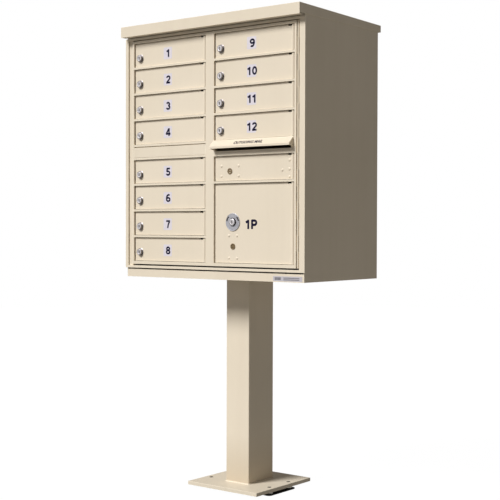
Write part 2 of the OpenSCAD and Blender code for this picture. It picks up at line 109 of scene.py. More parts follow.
def bumps(tree, layers):
    """Stacked bump nodes from (height, strength, distance) layers."""
    normal = None
    for height, strength, distance in layers:
        inputs = {"Height": height, "Strength": strength, "Distance": distance}
        if normal is not None:
            inputs["Normal"] = normal
        normal = add(tree, "ShaderNodeBump", inputs).outputs[0]
    return normal


def new_material(name):
    """An empty material, its node tree and its object coordinates."""
    made = bpy.data.materials.new(name)
    made.use_nodes = True
    made.node_tree.nodes.clear()
    coords = add(made.node_tree, "ShaderNodeTexCoord").outputs["Object"]
    return made, made.node_tree, coords


def close_material(tree, inputs):
    """Principled surface at the end of the tree."""
    surface = add(tree, "ShaderNodeBsdfPrincipled", inputs)
    add(tree, "ShaderNodeOutputMaterial", {"Surface": surface.outputs[0]})


def powder_coat(name, colour, edge_wear_and_highlight, dusty, roughness, ground_shade_amount=0.8):
    """Baked powder paint: orange peel, fine grain, drifting tone, pale edges from thin paint with a
    painted highlight along them, a little dust, and painted shade near the ground that fades out above it."""
    made, tree, coords = new_material(name)
    drift = remap(tree, noise(tree, coords, 2.3, 4.0), 0.3, 0.7, 0.0, 1.0)
    grain = remap(tree, noise(tree, coords, 620.0, 3.0, 0.7), 0.35, 0.65, 0.0, 1.0)
    streak_coords = stretched(tree, coords, (26.0, 26.0, 1.1))
    streaks = remap(tree, noise(tree, streak_coords, 1.0, 4.0, 0.65), 0.45, 0.85, 0.0, 0.5)
    darker = tuple(c * k for c, k in zip(colour[:3], (0.93, 0.925, 0.90))) + (1.0,)
    toned = blend_colour(tree, drift, colour, darker)
    speck = tuple(c * 0.88 for c in colour[:3]) + (1.0,)
    toned = blend_colour(tree, calculate(tree, "MULTIPLY", grain, 0.3), toned, speck)
    toned = blend_colour(tree, calculate(tree, "MULTIPLY", streaks, dusty), toned,
                         (colour[0] * 0.74, colour[1] * 0.71, colour[2] * 0.66, 1.0))
    # Painted shade near the ground: the paint darkens towards the bottom, below 0.19 m
    height = add(tree, "ShaderNodeSeparateXYZ", {0: coords}).outputs["Z"]
    ground_shade = remap(tree, height, 0.02, 0.19, 1.0, 0.0)
    ground_shade_colour = tuple(c * k for c, k in zip(colour[:3], (0.66, 0.62, 0.56))) + (1.0,)
    toned = blend_colour(tree, calculate(tree, "MULTIPLY", ground_shade, ground_shade_amount), toned, ground_shade_colour)
    # Paler edges: thinner paint there, with a painted highlight along them
    edges = calculate(tree, "MULTIPLY", edge_mask(tree, 0.003), edge_wear_and_highlight)
    pale = tuple(min(1.0, c * 1.27) for c in colour[:3]) + (1.0,)
    toned = blend_colour(tree, edges, toned, pale)
    peel = noise(tree, coords, 260.0, 2.0)
    fine = noise(tree, coords, 1300.0, 3.0, 0.6)
    rough = remap(tree, grain, 0.0, 1.0, roughness - 0.05, roughness + 0.07)
    normal = bumps(tree, ((peel, 0.22, 0.0005), (fine, 0.18, 0.00012)))
    close_material(tree, {
        "Base Color": toned, "Roughness": rough, "Normal": normal, "Specular IOR Level": 0.42,
    })
    return made


# Scale of the brushed grain along X, Y and Z
BRUSHED = (900.0, 900.0, 60.0)


def plated(name, colour, tint, roughness, metal=1.0):
    """Metal with brushed grain, cloudy plating and darker handling marks."""
    made, tree, coords = new_material(name)
    grain = noise(tree, stretched(tree, coords, BRUSHED), 1.0, 3.0, 0.6)
    cloud = remap(tree, noise(tree, coords, 90.0, 3.0), 0.35, 0.7, 0.0, 1.0)
    toned = blend_colour(tree, cloud, colour, tint)
    marks = remap(tree, noise(tree, coords, 420.0, 4.0, 0.7), 0.58, 0.8, 0.0, 0.45)
    toned = blend_colour(tree, marks, toned, tuple(c * 0.5 for c in tint[:3]) + (1.0,))
    rough = remap(tree, grain, 0.3, 0.7, roughness - 0.07, roughness + 0.12)
    normal = bumps(tree, ((grain, 0.12, 0.00008), (marks, 0.15, 0.00005)))
    close_material(tree, {"Base Color": toned, "Roughness": rough, "Normal": normal, "Metallic": metal})
    return made


def weathered_steel(name):
    """Dark hot-rolled steel with mill scale and a few rust blooms."""
    made, tree, coords = new_material(name)
    scale = remap(tree, noise(tree, coords, 60.0, 6.0, 0.65), 0.35, 0.7, 0.0, 1.0)
    rust = remap(tree, noise(tree, coords, 34.0, 5.0, 0.7), 0.56, 0.7, 0.0, 0.7)
    toned = blend_colour(tree, scale, (0.020, 0.018, 0.017, 1.0), (0.052, 0.046, 0.042, 1.0))
    toned = blend_colour(tree, rust, toned, (0.105, 0.045, 0.022, 1.0))
    rough = remap(tree, scale, 0.0, 1.0, 0.5, 0.78)
    normal = bumps(tree, ((scale, 0.35, 0.0004), (noise(tree, coords, 900.0, 3.0), 0.2, 0.0001)))
    close_material(tree, {"Base Color": toned, "Roughness": rough, "Normal": normal, "Metallic": 0.25})
    return made


def vinyl(name, colour, shade, roughness, gloss=0.5):
    """Printed vinyl film: faint mottling and a soft film texture."""
    made, tree, coords = new_material(name)
    mottle = remap(tree, noise(tree, coords, 140.0, 4.0, 0.6), 0.3, 0.7, 0.0, 1.0)
    toned = blend_colour(tree, mottle, colour, shade)
    rough = remap(tree, mottle, 0.0, 1.0, roughness - 0.05, roughness + 0.08)
    film = noise(tree, coords, 800.0, 2.0)
    normal = bumps(tree, ((film, 0.12, 0.00006),))
    close_material(tree, {
        "Base Color": toned, "Roughness": rough, "Normal": normal, "Specular IOR Level": gloss,
    })
    return made


LOOKS = {
    "cabinet_paint": powder_coat("powder_coat_cabinet", (0.806, 0.712, 0.574, 1.0), 0.9, 0.35, 0.44),
    "door_paint": powder_coat("powder_coat_doors", (0.808, 0.713, 0.577, 1.0), 0.9, 0.2, 0.40),
    "base_paint": powder_coat("powder_coat_base", (0.80, 0.715, 0.585, 1.0), 0.9, 0.5, 0.48,
                              ground_shade_amount=0.12),
    "inside_paint": powder_coat("powder_coat_inside", (0.70, 0.615, 0.50, 1.0), 0.3, 0.5, 0.52),
    "dark_steel": weathered_steel("weathered_steel"),
    "zinc": plated("bright_zinc", (0.82, 0.82, 0.80, 1.0), (0.74, 0.74, 0.66, 1.0), 0.34),
    # Dark nickel for the lock barrels, darkened to paint the shade on their sides
    "lock_zinc": plated("lock_barrel_shaded_nickel", (0.30, 0.28, 0.27, 1.0), (0.22, 0.205, 0.20, 1.0), 0.42),
    "lock_face": plated("lock_face_nickel", (0.90, 0.87, 0.89, 1.0), (0.80, 0.77, 0.79, 1.0), 0.34),
    "lock_rim": plated("lock_rim_nickel", (0.42, 0.395, 0.41, 1.0), (0.33, 0.31, 0.32, 1.0), 0.36),
    "cast_zinc": plated("cast_zinc", (0.56, 0.56, 0.60, 1.0), (0.44, 0.44, 0.48, 1.0), 0.46),
    "steel_rod": plated("drawn_steel", (0.62, 0.62, 0.62, 1.0), (0.52, 0.52, 0.51, 1.0), 0.38),
    "bronze": plated("aged_bronze", (0.27, 0.195, 0.105, 1.0), (0.175, 0.12, 0.062, 1.0), 0.46,
                     metal=0.55),
    "shield_back": plated("shield_back_bronze", (0.60, 0.50, 0.36, 1.0), (0.50, 0.41, 0.29, 1.0), 0.5,
                          metal=0.2),
    "plate_film": vinyl("plate_film", (0.56, 0.53, 0.57, 1.0), (0.50, 0.475, 0.51, 1.0), 0.35),
    "label_vinyl": vinyl("label_vinyl", (0.72, 0.675, 0.73, 1.0), (0.68, 0.635, 0.69, 1.0), 0.4),
    "ink": vinyl("printed_ink", (0.006, 0.005, 0.024, 1.0), (0.011, 0.009, 0.034, 1.0), 0.6, gloss=0.12),
    "grey_ink": vinyl("grey_ink", (0.17, 0.16, 0.18, 1.0), (0.24, 0.23, 0.25, 1.0), 0.5),
    # Dark steel that paints shade in key slots, lock slots, anchor holes and round the parcel lock's
    # barrel
    "keyway": weathered_steel("keyway_steel"),
    # Black rubber that paints the shade in the gap under the master frame
    "gap_shade_rubber": vinyl("seal_gap_shade_rubber", (0.022, 0.020, 0.018, 1.0), (0.034, 0.031, 0.028, 1.0), 0.72,
                    gloss=0.2),
}

# ------------------------------------------------------------------ CAD nodes: materials and soft edges

FINISH_OF = {
    "base_plate": "base_paint", "anchor_feet": "dark_steel", "pedestal_bolts": "zinc", "latch_bar": "zinc",
    "hinge_rods": "steel_rod", "outgoing_key_shield": "bronze", "parcel_key_shield": "bronze",
    "parcel_lock_body": "cast_zinc", "parcel_lock_plug": "lock_face",
    "compartment_divider": "inside_paint", "shelves": "inside_paint",
}
# Width of the small bevels on the locks and shields, and on everything else
FINE_EDGES = 0.25 * MM
SHEET_EDGES = 0.5 * MM
WELD_DISTANCE = 0.02 * MM
# Faces that meet at less than FLAT are joined, edges over SHARP aren't shaded smooth, and edges over
# BEVELLED get the small bevel
FLAT = math.radians(0.8)
SHARP = math.radians(28)
BEVELLED = math.radians(35)


def finish_of(name):
    """The look of a CAD node."""
    if name.startswith("lock_"):
        return "lock_face" if "plug" in name else "lock_zinc"
    if name.startswith(("door_0", "door_1")) or name in ("outgoing_door", "parcel_door"):
        return "door_paint"
    return FINISH_OF.get(name, "cabinet_paint")


def shading_group():
    """Geometry nodes that drop the stored normals and shade smooth except over sharp edges."""
    tree = bpy.data.node_groups.new("smooth_by_angle", "GeometryNodeTree")
    tree.interface.new_socket("Geometry", in_out="INPUT", socket_type="NodeSocketGeometry")
    tree.interface.new_socket("Geometry", in_out="OUTPUT", socket_type="NodeSocketGeometry")
    start = add(tree, "NodeGroupInput").outputs[0]
    bare = add(tree, "GeometryNodeRemoveAttribute",
               {"Geometry": start, "Name": "custom_normal"}).outputs[0]
    angle = add(tree, "GeometryNodeInputMeshEdgeAngle").outputs[0]
    sharp = add(tree, "FunctionNodeCompare", {0: angle, 1: SHARP}, operation="GREATER_THAN")
    smooth = add(tree, "GeometryNodeSetShadeSmooth", {"Geometry": bare, "Shade Smooth": True},
                 domain="FACE")
    split = add(tree, "GeometryNodeSetShadeSmooth",
                {"Geometry": smooth.outputs[0], "Selection": sharp.outputs[0], "Shade Smooth": False},
                domain="EDGE")
    add(tree, "NodeGroupOutput", {0: split.outputs[0]})
    return tree


smooth_by_angle = shading_group()


def soften(piece, width):
    """Joins a CAD mesh's flat faces and rounds its sharp edges by a small bevel."""
    piece.modifiers.new("weld", "WELD").merge_threshold = WELD_DISTANCE
    flatten = piece.modifiers.new("flatten", "DECIMATE")
    flatten.decimate_type = "DISSOLVE"
    flatten.angle_limit = FLAT
    piece.modifiers.new("shading", "NODES").node_group = smooth_by_angle
    edge = piece.modifiers.new("edge", "BEVEL")
    edge.width = width
    edge.segments = 2
    edge.limit_method = "ANGLE"
    edge.angle_limit = BEVELLED
    edge.use_clamp_overlap = True
    edge.harden_normals = True


for name, node in nodes.items():
    look = LOOKS[finish_of(name)]
    node.data.materials.clear()
    node.data.materials.append(look)
    fine = name.startswith("lock_") or "shield" in name or "parcel_lock" in name
    soften(node, FINE_EDGES if fine else SHEET_EDGES)

# ------------------------------------------------------------------ mesh helpers


def piece_from(name, bm, look, body):
    """A named object from a bmesh, with its look, riding on its body."""
    mesh = bpy.data.meshes.new(name)
    bm.to_mesh(mesh)
    bm.free()
    made = bpy.data.objects.new(name, mesh)
    bpy.context.scene.collection.objects.link(made)
    mesh.materials.append(LOOKS[look])
    for face in mesh.polygons:
        face.use_smooth = True
    made.modifiers.new("shading", "NODES").node_group = smooth_by_angle
    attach(made, body)
    return made


def middle(name):
    """The centre of a CAD node's box."""
    low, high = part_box(name)
    return (low + high) / 2


def beside(name, right, up):
    """x and z of a point so many mm right of and above the lower left corner of a node's box."""
    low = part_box(name)[0]
    return low.x + right * MM, low.z + up * MM


def lathe(bm, profile, centre, axis, sides=32):
    """Adds a surface of revolution. profile is (radius, height) pairs along the axis, and closes
    when it ends on the axis or where it began."""
    turn = Vector((0, 0, 1)).rotation_difference(Vector(axis)).to_matrix()
    rings = []
    for radius, height in profile:
        if radius <= 0:
            rings.append([bm.verts.new(Vector(centre) + turn @ Vector((0, 0, height)))])
            continue
        ring = []
        for i in range(sides):
            a = 2 * math.pi * i / sides
            ring.append(bm.verts.new(
                Vector(centre) + turn @ Vector((radius * math.cos(a), radius * math.sin(a), height))))
        rings.append(ring)
    for low, high in zip(rings, rings[1:]):
        count = max(len(low), len(high))
        for i in range(count):
            j = (i + 1) % count
            corners = [low[i % len(low)], low[j % len(low)], high[j % len(high)], high[i % len(high)]]
            unique = list(dict.fromkeys(corners))
            bm.faces.new(unique)
    bmesh.ops.remove_doubles(bm, verts=bm.verts, dist=1e-7)
    bmesh.ops.recalc_face_normals(bm, faces=bm.faces)


def turned(name, profile, centre, look, body, sides=40):
    """A turned piece on an axis that faces the front; heights are in mm behind the centre."""
    bm = bmesh.new()
    lathe(bm, [(r * MM, h * MM) for r, h in profile], centre, (0, 1, 0), sides)
    return piece_from(name, bm, look, body)


CORNER_STEPS = 6


def rounded_slab(bm, centre, width, height, radius, front, back):
    """Adds a plate with rounded corners that faces -Y, from y = back to y = front."""
    outline = []
    for cx, cz, start in ((1, 1, 0), (-1, 1, 90), (-1, -1, 180), (1, -1, 270)):
        for i in range(CORNER_STEPS + 1):
            a = math.radians(start + 90 * i / CORNER_STEPS)
            outline.append((centre[0] + cx * (width / 2 - radius) + radius * math.cos(a),
                            centre[1] + cz * (height / 2 - radius) + radius * math.sin(a)))
    rings = [[bm.verts.new((x, y, z)) for x, z in outline] for y in (back, front)]
    count = len(outline)
    for i in range(count):
        j = (i + 1) % count
        bm.faces.new((rings[0][i], rings[0][j], rings[1][j], rings[1][i]))
    bm.faces.new(rings[1])
    bm.faces.new(list(reversed(rings[0])))
    bmesh.ops.recalc_face_normals(bm, faces=bm.faces)


# Thickness of printed text, and the least distance between two of its vertices
PRINT_T = 0.12 * MM
PRINT_MERGE = 0.005 * MM


def lettering(name, text, size, width, at, look, body, tilt=0.0, bold=0.0):
    """Raised characters of a given overall width, centred on a point of a front surface."""
    curve = bpy.data.curves.new(name, "FONT")
    curve.body = text
    curve.size = size
    curve.align_x = "CENTER"
    curve.align_y = "CENTER"
    curve.offset = bold
    curve.extrude = PRINT_T / 2
    curve.resolution_u = 6
    written = bpy.data.objects.new(name, curve)
    bpy.context.scene.collection.objects.link(written)
    bpy.context.view_layer.update()
    shape = written.evaluated_get(bpy.context.evaluated_depsgraph_get())
    bm = bmesh.new()
    bm.from_mesh(bpy.data.meshes.new_from_object(shape))
    bpy.data.objects.remove(written)
    # Centre the ink itself, whatever the font's side bearings are
    low = Vector(tuple(min(v.co[i] for v in bm.verts) for i in range(3)))
    high = Vector(tuple(max(v.co[i] for v in bm.verts) for i in range(3)))
    centre = (low + high) / 2
    stand = Matrix.Rotation(math.radians(90) + tilt, 4, "X")
    fit = Matrix.Diagonal((width / (high.x - low.x), 1, 1, 1))
    move = Matrix.Translation(Vector(at)) @ stand @ fit @ Matrix.Translation(-centre)
    bmesh.ops.transform(bm, matrix=move, verts=bm.verts)
    bmesh.ops.remove_doubles(bm, verts=bm.verts, dist=PRINT_MERGE)
    return piece_from(name, bm, look, body)


# ------------------------------------------------------------------ characters drawn as strokes


def arc(cx, cy, rx, ry, start, end, steps=14):
    """Points along part of an ellipse, angles in degrees."""
    points = []
    for i in range(steps + 1):
        a = math.radians(start + (end - start) * i / steps)
        points.append((cx + rx * math.cos(a), cy + ry * math.sin(a)))
    return points


# Centre lines of plain bold characters in a cell 1 high; each is (advance, strokes)
WIDEN = 1.3
SIX = [arc(0.33, 0.31, 0.215, 0.215, 0, 360, 28), arc(0.37, 0.45, 0.255, 0.455, 58, 192)]
GLYPHS = {
    "0": (0.64, [arc(0.32, 0.5, 0.205, 0.405, 0, 360, 32)]),
    "1": (0.58, [[(0.32, 0.0), (0.32, 1.0)], [(0.30, 0.86), (0.06, 0.70)]]),
    "2": (0.64, [arc(0.32, 0.69, 0.205, 0.215, 172, -38) + [(0.13, 0.13)], [(0.05, 0.09), (0.57, 0.09)]]),
    "3": (0.64, [arc(0.30, 0.715, 0.185, 0.19, 160, -90), arc(0.30, 0.305, 0.21, 0.215, 90, -165)]),
    "4": (0.66, [[(0.41, 0.96), (0.09, 0.33)], [(0.01, 0.28), (0.63, 0.28)], [(0.44, 0.0), (0.44, 1.0)]]),
    "5": (0.64, [[(0.15, 0.91), (0.55, 0.91)], [(0.20, 0.98), (0.15, 0.47)],
                 arc(0.30, 0.325, 0.215, 0.235, 132, -162)]),
    "6": (0.64, SIX),
    "7": (0.62, [[(0.05, 0.91), (0.57, 0.91)], [(0.50, 0.86), (0.34, 0.50), (0.25, 0.0)]]),
    "8": (0.64, [arc(0.32, 0.72, 0.18, 0.19, 0, 360, 24), arc(0.32, 0.30, 0.21, 0.205, 0, 360, 28)]),
    "9": (0.64, [[(0.66 - x, 1 - y) for x, y in stroke] for stroke in SIX]),
    "P": (0.70, [[(0.14, 0.0), (0.14, 1.0)],
                 [(0.14, 0.91), (0.38, 0.91)] + arc(0.38, 0.68, 0.20, 0.23, 90, -90) + [(0.14, 0.45)]]),
}


def ribbon(bm, stroke, width, place, front, back):
    """Adds one raised stroke of even width; place turns a cell point into x and z."""
    closed = math.dist(stroke[0], stroke[-1]) < 1e-6
    points = [Vector(p) for p in (stroke[:-1] if closed else stroke)]
    count = len(points)
    rings = []
    for i, point in enumerate(points):
        before = points[i - 1] if closed or i > 0 else point
        after = points[(i + 1) % count] if closed or i < count - 1 else point
        along = (after - before).normalized()
        side = Vector((-along.y, along.x)) * width / 2
        corners = [place(point + side), place(point - side)]
        rings.append([bm.verts.new((x, y, z)) for y in (front, back) for x, z in corners])
    for i in range(count if closed else count - 1):
        a, b = rings[i], rings[(i + 1) % count]
        for p, q in ((0, 1), (1, 3), (3, 2), (2, 0)):
            bm.faces.new((a[p], a[q], b[q], b[p]))
    if not closed:
        bm.faces.new((rings[0][0], rings[0][1], rings[0][3], rings[0][2]))
        bm.faces.new((rings[-1][0], rings[-1][1], rings[-1][3], rings[-1][2]))


# Thickness of a stroke of ink, and how much prouder each next stroke stands so that none coincide
INK_T = 0.10 * MM
INK_STEP = 0.01 * MM


def characters(name, text, height, at, body, y, weight=0.235):
    """Raised characters centred at x and z on a front surface at y. weight is a part of the height."""
    bm = bmesh.new()
    total = sum(GLYPHS[c][0] for c in text)
    pen = -total / 2
    layer = 0
    for c in text:
        advance, strokes = GLYPHS[c]
        for stroke in strokes:
            def place(p, pen=pen * WIDEN):
                return at[0] + (pen + p[0]) * height, at[1] + (p[1] - 0.5) * height
            widened = [(x * WIDEN, z) for x, z in stroke]
            ribbon(bm, widened, weight, place, y - INK_T - layer * INK_STEP, y)
            layer += 1
        pen += advance
    bmesh.ops.recalc_face_normals(bm, faces=bm.faces)
    return piece_from(name, bm, "ink", body)


# ------------------------------------------------------------------ doors: numbers, locks, rivets


# The hinge curl stands 4 mm in front of the sheet
DOOR_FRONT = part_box("door_01")[0].y + 4 * MM
# Each number label, placed from its door's lower left corner, and the digits printed on it
LABEL_RIGHT, LABEL_UP = 150, 37
LABEL_SIZE = (38 * MM, 40 * MM)
LABEL_CORNER = 3 * MM
LABEL_FRONT = DOOR_FRONT - 0.14 * MM
DIGIT_H = 26.3 * MM
# The digits are printed a little right of the label's centre
DIGIT_SHIFT = (2.2, -0.4)
for n in TENANTS:
    tag = f"{n:02d}"
    door = f"door_{tag}"
    body = f"tenant_door_{tag}"
    bm = bmesh.new()
    rounded_slab(bm, beside(door, LABEL_RIGHT, LABEL_UP), *LABEL_SIZE, LABEL_CORNER,
                 LABEL_FRONT, DOOR_FRONT)
    piece_from(f"label_{tag}", bm, "label_vinyl", body)
    printed_at = beside(door, LABEL_RIGHT + DIGIT_SHIFT[0], LABEL_UP + DIGIT_SHIFT[1])
    characters(f"number_{tag}", str(n), DIGIT_H, printed_at, body, LABEL_FRONT)


PLUG_BOTTOM = 8 * MM


def key_shutter(name, plug, body):
    """The mouth of a plug's key slot and its shutter just inside, both dark as painted shade."""
    low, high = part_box(plug)
    # A plug's cam points up, so its axis is one plug radius above the box's lower edge
    x = (low.x + high.x) / 2
    z = low.z + PLUG_BOTTOM
    front = low.y
    bm = bmesh.new()
    # Both slabs are dark as painted shade: one inside the key slot, one round its mouth in place of a
    # shallow countersink
    rounded_slab(bm, (x, z), 2.95 * MM, 8.45 * MM, 0.6 * MM, front + 0.5 * MM, front + 1.6 * MM)
    rounded_slab(bm, (x, z), 4.4 * MM, 9.8 * MM, 1.9 * MM, front - 0.04 * MM, front + 0.02 * MM)
    return piece_from(name, bm, "keyway", body)


for n in TENANTS:
    tag = f"{n:02d}"
    key_shutter(f"key_shutter_{tag}", f"lock_plug_{tag}", f"tenant_lock_{tag}")
key_shutter("key_shutter_parcel", "parcel_lock_plug", "parcel_lock")

# Each lock's bright face around its plug, its dark sloping rim and the collar under its head
FACE = ((6.15, 0.2), (6.15, -0.5), (6.7, -0.6), (8.7, -0.6), (8.9, 0.2), (6.15, 0.2))
RIM = ((8.75, 0.3), (8.75, -0.5), (9.2, -0.5), (10.95, 0.8), (11.1, 2.0), (10.8, 2.0), (8.75, 0.3))
COLLAR = ((10.9, 8.0), (10.9, 6.7), (12.6, 6.5), (13.8, 7.3), (13.8, 8.0), (10.9, 8.0))
for n in TENANTS:
    tag = f"{n:02d}"
    at = middle(f"lock_body_{tag}")
    at.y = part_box(f"lock_body_{tag}")[0].y
    turned(f"lock_face_{tag}", FACE, at, "lock_face", f"tenant_door_{tag}")
    turned(f"lock_rim_{tag}", RIM, at, "lock_rim", f"tenant_door_{tag}")
    turned(f"lock_collar_{tag}", COLLAR, at, "lock_rim", f"tenant_door_{tag}")

at = middle("parcel_lock_body")
at.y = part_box("parcel_lock_body")[0].y
PARCEL_FACE = ((6.2, 0.2), (6.2, -0.5), (6.9, -0.6), (9.6, -0.45), (11.2, 0.1), (11.6, 0.9),
               (11.6, 1.4), (6.2, 0.2))
turned("parcel_lock_face", PARCEL_FACE, at, "lock_face", "parcel_door")
# A thin dark sleeve round the parcel lock's barrel with a ring at its foot, painted shade and shadow round
# the barrel
SHADE_SLEEVE = ((11.45, 1.4), (11.7, 1.4), (11.7, 4.3), (14.3, 4.42), (14.3, 4.6), (11.45, 4.6), (11.45, 1.4))
turned("parcel_lock_shade_sleeve", SHADE_SLEEVE, at, "keyway", "parcel_door")
# A shallow rolled bead round the edge of the parcel lock's disc
DISC_BEAD = ((26.6, 4.8), (26.9, 4.3), (27.9, 4.05), (28.8, 4.3), (28.9, 4.8), (26.6, 4.8))
turned("parcel_disc_bead", DISC_BEAD, at, "cast_zinc", "parcel_door", sides=56)
# Dark pieces inside the disc's two curved slots, painted shade in the slots
SLOT_R = 24
SLOT_SWEEP = 38
SLOT_W = 5.0
bm = bmesh.new()
for start in (8, 134):
    ribbon(bm, arc(0, 0, SLOT_R, SLOT_R, start, start + SLOT_SWEEP), SLOT_W,
           lambda p: (at.x + p[0] * MM, at.z + p[1] * MM), at.y + 4.44 * MM, at.y + 5.2 * MM)
bmesh.ops.recalc_face_normals(bm, faces=bm.faces)
piece_from("parcel_slot_shade", bm, "keyway", "parcel_door")

DOME_SIDES = 20
DOME = ((0, -1.5), (1.6, -1.35), (2.8, -0.9), (3.5, -0.25), (3.7, 0.0), (3.6, 0.3), (0, 0.3))


def domes(name, centres, scale, look, body, axis=(0, 1, 0)):
    """Low round heads standing on a surface."""
    bm = bmesh.new()
    for centre in centres:
        lathe(bm, [(r * scale * MM, h * scale * MM) for r, h in DOME], centre, axis, DOME_SIDES)
    return piece_from(name, bm, look, body)


def on_front(points, y):
    """Points on a plane that faces the front."""
    return [(x, y, z) for x, z in points]


def stud_grid(name):
    """x and z of the four studs of a mount on a door."""
    x, _, z = mounts[name]["pos_m"]
    across = mounts[name]["dims"]["spacing_x_mm"] / 2 * MM
    up = mounts[name]["dims"]["spacing_y_mm"] / 2 * MM
    return [(x + sx * across, z + sz * up) for sx in (-1, 1) for sz in (-1, 1)]


# Size of each kind of head against DOME
OUTGOING_HEAD = 1.35
PARCEL_HEAD = 1.3
BACK_HEAD = 1.1
outgoing = on_front(stud_grid("outgoing_lock_studs"), DOOR_FRONT)
domes("outgoing_studs", outgoing, OUTGOING_HEAD, "door_paint", "outgoing_door")
# Three rivets in a line beside the hinge and one to their left
rivet_points = [beside("outgoing_door", right, up)
                for right, up in ((301.5, 59.4), (301.5, 31.3), (301.5, 7.1), (274, 28.9))]
domes("outgoing_rivets", on_front(rivet_points, DOOR_FRONT), OUTGOING_HEAD, "door_paint", "outgoing_door")
parcel = on_front(stud_grid("parcel_lock_studs"), DOOR_FRONT)
domes("parcel_studs", parcel, PARCEL_HEAD, "door_paint", "parcel_door")
MARK_H = 30 * MM
characters("parcel_mark", "1P", MARK_H, beside("parcel_door", 150.3, 125.6), "parcel_door", DOOR_FRONT,
           weight=0.26)

# Backing behind each key shield's bar
BACKING = ((0, 1.9), (6.3, 1.9), (6.3, 2.4), (0, 2.4))
for name, body, look in (("outgoing_key_shield", "outgoing_door", "shield_back"),
                         ("parcel_key_shield", "parcel_door", "bronze")):
    at = middle(name)
    at.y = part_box(name)[0].y
    turned(f"{name}_backing", BACKING, at, look, body, sides=28)

# ------------------------------------------------------------------ mail hood legend and maker's plate

# The hood's face falls by HOOD_DROP over HOOD_REACH, and the legend stands LEGEND_IN behind its lower edge
HOOD_REACH = 22.5
HOOD_DROP = 21
LEGEND_IN = 10 * MM
LEGEND_SIZE = 18 * MM
LEGEND_W = 118 * MM
LEGEND_BOLD = 0.65 * MM
hood_low, hood_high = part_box("mail_hood")
slope = math.atan2(HOOD_REACH, HOOD_DROP)
legend_x = hood_low.x + 154.5 * MM
legend_y = hood_low.y + LEGEND_IN
legend_z = hood_high.z - HOOD_DROP * MM + LEGEND_IN * HOOD_DROP / HOOD_REACH
proud = PRINT_T / 2
lettering("hood_legend", "OUTGOING MAIL", LEGEND_SIZE, LEGEND_W,
          (legend_x, legend_y - proud, legend_z + proud), "ink", "master_door",
          tilt=-slope, bold=LEGEND_BOLD)

# A blank plate on the apron, with two plain bars and no lettering
PLATE_RIGHT, PLATE_UP = 694, 10.6
PLATE_SIZE = (114 * MM, 15.6 * MM)
# Centre from the plate's own centre, then width and height, in mm
BARS = ((-38, 0, 24, 9), (15, 2.4, 62, 3.2), (15, -3, 62, 3.2))
apron_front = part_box("floor_pan")[0].y
plate_front = apron_front - 0.3 * MM
bars_front = plate_front - 0.06 * MM
bm = bmesh.new()
rounded_slab(bm, beside("floor_pan", PLATE_RIGHT, PLATE_UP), *PLATE_SIZE, 1.5 * MM,
             plate_front, apron_front)
piece_from("maker_plate", bm, "plate_film", "cabinet")
bm = bmesh.new()
for right, up, w, h in BARS:
    rounded_slab(bm, beside("floor_pan", PLATE_RIGHT + right, PLATE_UP + up), w * MM, h * MM, 0.8 * MM,
                 bars_front, plate_front)
piece_from("maker_plate_bars", bm, "grey_ink", "cabinet")

# A black rubber strip on the sill, in the gap under the master frame, painted shade that darkens the gap
SILL_GAP = 5.5 * MM
STRIP_H = 3.6 * MM
STRIP_ENDS = 5 * MM
STRIP_FRONT, STRIP_BACK = 5.6 * MM, 11 * MM
frame_low, frame_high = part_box("master_frame")
strip_centre = ((frame_low.x + frame_high.x) / 2, frame_low.z - SILL_GAP + STRIP_H / 2)
bm = bmesh.new()
rounded_slab(bm, strip_centre, frame_high.x - frame_low.x - 2 * STRIP_ENDS, STRIP_H, 1.2 * MM,
             frame_low.y + STRIP_FRONT, frame_low.y + STRIP_BACK)
piece_from("sill_gap_shade", bm, "gap_shade_rubber", "cabinet")

# ------------------------------------------------------------------ pedestal: nuts, welds; back rivets


def hex_collar(bm, x, y, low, high, across, bore):
    """Adds a chamfered hexagonal nut along Z."""
    outer = across / 2 / math.cos(math.radians(30))
    chamfer = 0.8
    levels = ((outer - chamfer, low), (outer, low + chamfer), (outer, high - chamfer),
              (outer - chamfer, high), (bore, high), (bore, low))
    turns = [math.radians(60 * i) for i in range(6)]
    rings = []
    for radius, z in levels:
        rings.append([bm.verts.new(((x + radius * math.cos(a)) * MM, (y + radius * math.sin(a)) * MM,
                                    z * MM)) for a in turns])
    for a, b in zip(rings, rings[1:] + rings[:1]):
        for i in range(6):
            j = (i + 1) % 6
            bm.faces.new((a[i], a[j], b[j], b[i]))
    bmesh.ops.recalc_face_normals(bm, faces=bm.faces)


anchor_spans = mounts["anchor_bolts"]["dims"]
ANCHORS = [(sx * anchor_spans["spacing_x_mm"] / 2, sy * anchor_spans["spacing_y_mm"] / 2)
           for sx in (-1, 1) for sy in (-1, 1)]
# The nuts fill the gap between the straps and the base plate, less a tenth of a millimetre at each end
STRAP_T = 4
PLAY = 0.1
plate_z0, plate_z1 = (corner.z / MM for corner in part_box("base_plate"))
bm = bmesh.new()
for x, y in ANCHORS:
    hex_collar(bm, x, y, low=STRAP_T + PLAY, high=plate_z0 - PLAY, across=22.6, bore=6.9)
piece_from("levelling_nuts", bm, "zinc", "cabinet")
# Dark steel rings inside the base plate's anchor holes, painted shade that darkens the holes
INNER_R, OUTER_R = 6.6, 7.05
HOLE_SHADE = ((INNER_R, plate_z0 + PLAY), (OUTER_R, plate_z0 + PLAY), (OUTER_R, plate_z1 - PLAY),
          (INNER_R, plate_z1 - PLAY), (INNER_R, plate_z0 + PLAY))
bm = bmesh.new()
for x, y in ANCHORS:
    lathe(bm, [(r * MM, h * MM) for r, h in HOLE_SHADE], (x * MM, y * MM, 0), (0, 0, 1), 28)
piece_from("anchor_hole_shade", bm, "keyway", "cabinet")


# Distance between points along a weld, in mm
RIPPLE = 3.0


